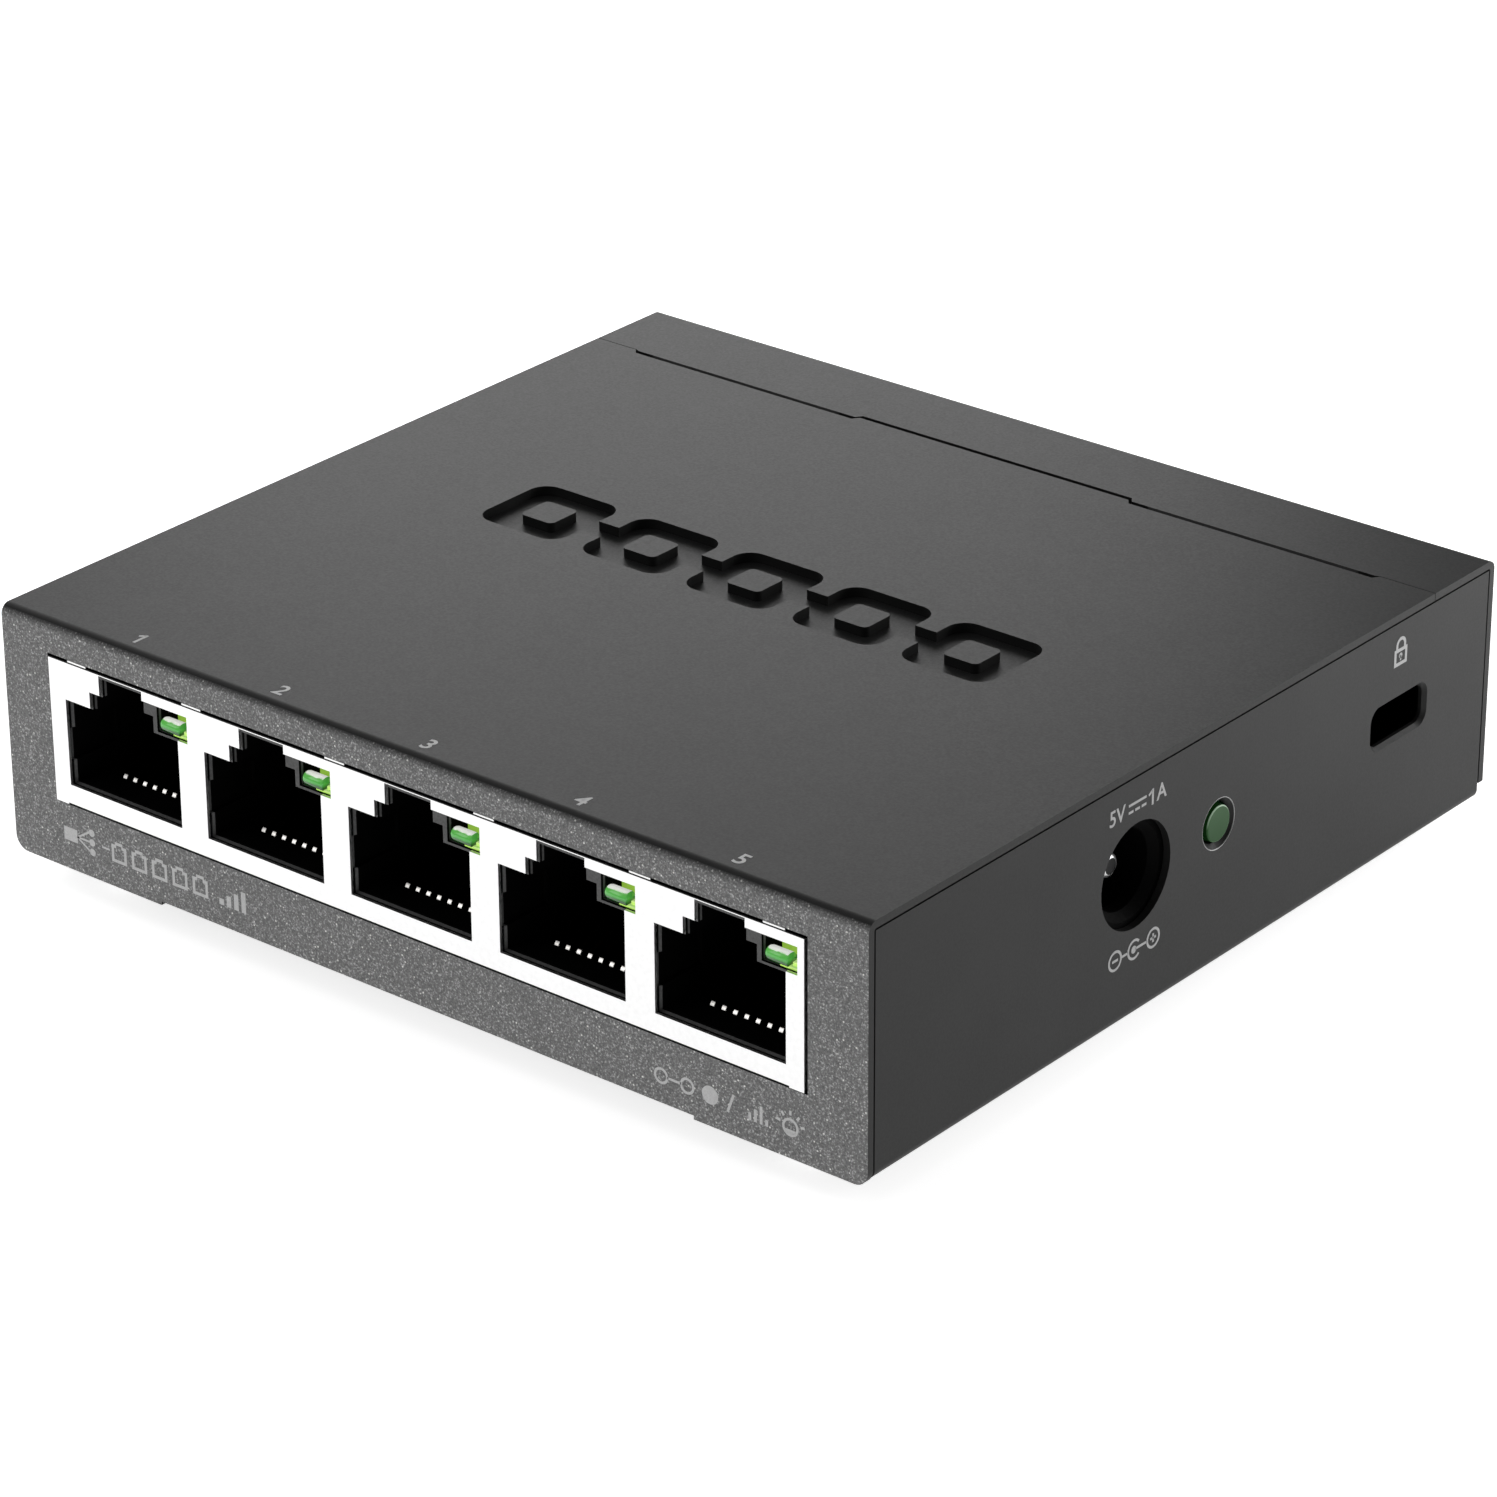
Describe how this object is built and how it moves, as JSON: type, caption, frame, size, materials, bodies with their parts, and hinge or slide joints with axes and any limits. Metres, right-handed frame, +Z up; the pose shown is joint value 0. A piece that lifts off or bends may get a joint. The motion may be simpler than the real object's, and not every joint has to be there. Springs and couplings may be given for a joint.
{
  "type": "desktop network switch",
  "caption": "Small flat metal-cased desktop network switch: row of modular sockets with lamps in the front, round power inlet, power lamp and lock slot in the right side.",
  "frame": {"origin": "middle of the footprint, in the plane the feet stand on", "axes": "+X to the right seen from the front, -Y out of the front with the sockets, +Z up"},
  "size_m": [0.082, 0.0762, 0.0222],
  "materials": {
    "case_paint": "dark grey satin powder coat; the front face is speckled metallic grey",
    "rubber": "matt",
    "screw_steel": "zinc plated",
    "board_green": "satin solder mask on glass epoxy",
    "shield_tin": "bright tin plate",
    "black_plastic": "moulded satin",
    "lead_tin": "tinned",
    "pin_nickel": "nickel plated",
    "power_lens": "tinted dark green",
    "port_lens": "tinted green, clear",
    "gold_contact": "gold plated",
    "chip_black": "moulded epoxy with tinned leads",
    "can_steel": "bright",
    "ferrite": "matt",
    "can_sleeve": "bare can with dark sleeve",
    "chip_ceramic": "fired ceramic with tinned ends",
    "chip_dark": "glazed with tinned ends"
  },
  "bodies": {
    "root": {"front_top_cover": "case_paint", "base_tray": "case_paint", "rubber_feet": "rubber", "cover_screws": "screw_steel", "board_screws": "screw_steel", "standoffs": "screw_steel", "circuit_board": "board_green", "jack_shield": "shield_tin", "jack_housing": "black_plastic", "port_led_leads": "lead_tin", "power_inlet_body": "black_plastic", "power_inlet_pin": "pin_nickel", "power_inlet_leaf_terminal": "pin_nickel", "power_led": "power_lens", "power_led_holder": "black_plastic", "power_led_leads": "lead_tin", "switch_chip": "chip_black", "switch_chip_leads": "lead_tin", "voltage_regulators": "chip_black", "config_memory": "chip_black", "crystal": "can_steel", "power_inductors": "ferrite", "bulk_capacitors": "can_sleeve", "input_diode": "chip_black", "chip_capacitors": "chip_ceramic", "chip_resistors": "chip_dark", "port_1_contact_block": "black_plastic", "port_1_contact_tails": "gold_contact", "port_1_led": "port_lens", "port_1_transformer": "chip_black", "port_2_contact_block": "black_plastic", "port_2_contact_tails": "gold_contact", "port_2_led": "port_lens", "port_2_transformer": "chip_black", "port_3_contact_block": "black_plastic", "port_3_contact_tails": "gold_contact", "port_3_led": "port_lens", "port_3_transformer": "chip_black", "port_4_contact_block": "black_plastic", "port_4_contact_tails": "gold_contact", "port_4_led": "port_lens", "port_4_transformer": "chip_black", "port_5_contact_block": "black_plastic", "port_5_contact_tails": "gold_contact", "port_5_led": "port_lens", "port_5_transformer": "chip_black"},
    "port_1_contacts": {"port_1_contact_springs": "gold_contact"},
    "port_2_contacts": {"port_2_contact_springs": "gold_contact"},
    "port_3_contacts": {"port_3_contact_springs": "gold_contact"},
    "port_4_contacts": {"port_4_contact_springs": "gold_contact"},
    "port_5_contacts": {"port_5_contact_springs": "gold_contact"},
    "inlet_leaf": {"power_inlet_leaf": "pin_nickel"}
  },
  "joints": [
    {"name": "port_1_contacts_press", "type": "hinge", "parent": "root", "child": "port_1_contacts", "pos_m": [-0.02888, -0.0341, 0.0089], "axis": [-1, 0, 0], "range_deg": [0, 9], "stiffness_Nm_per_rad": 0.5},
    {"name": "port_2_contacts_press", "type": "hinge", "parent": "root", "child": "port_2_contacts", "pos_m": [-0.01463, -0.0341, 0.0089], "axis": [-1, 0, 0], "range_deg": [0, 9], "stiffness_Nm_per_rad": 0.5},
    {"name": "port_3_contacts_press", "type": "hinge", "parent": "root", "child": "port_3_contacts", "pos_m": [-0.00038, -0.0341, 0.0089], "axis": [-1, 0, 0], "range_deg": [0, 9], "stiffness_Nm_per_rad": 0.5},
    {"name": "port_4_contacts_press", "type": "hinge", "parent": "root", "child": "port_4_contacts", "pos_m": [0.01388, -0.0341, 0.0089], "axis": [-1, 0, 0], "range_deg": [0, 9], "stiffness_Nm_per_rad": 0.5},
    {"name": "port_5_contacts_press", "type": "hinge", "parent": "root", "child": "port_5_contacts", "pos_m": [0.02813, -0.0341, 0.0089], "axis": [-1, 0, 0], "range_deg": [0, 9], "stiffness_Nm_per_rad": 0.5},
    {"name": "inlet_leaf_press", "type": "hinge", "parent": "root", "child": "inlet_leaf", "pos_m": [0.0289, -0.00765, 0.00963], "axis": [0, 1, 0], "range_deg": [0, 3], "stiffness_Nm_per_rad": 0.5}
  ]
}
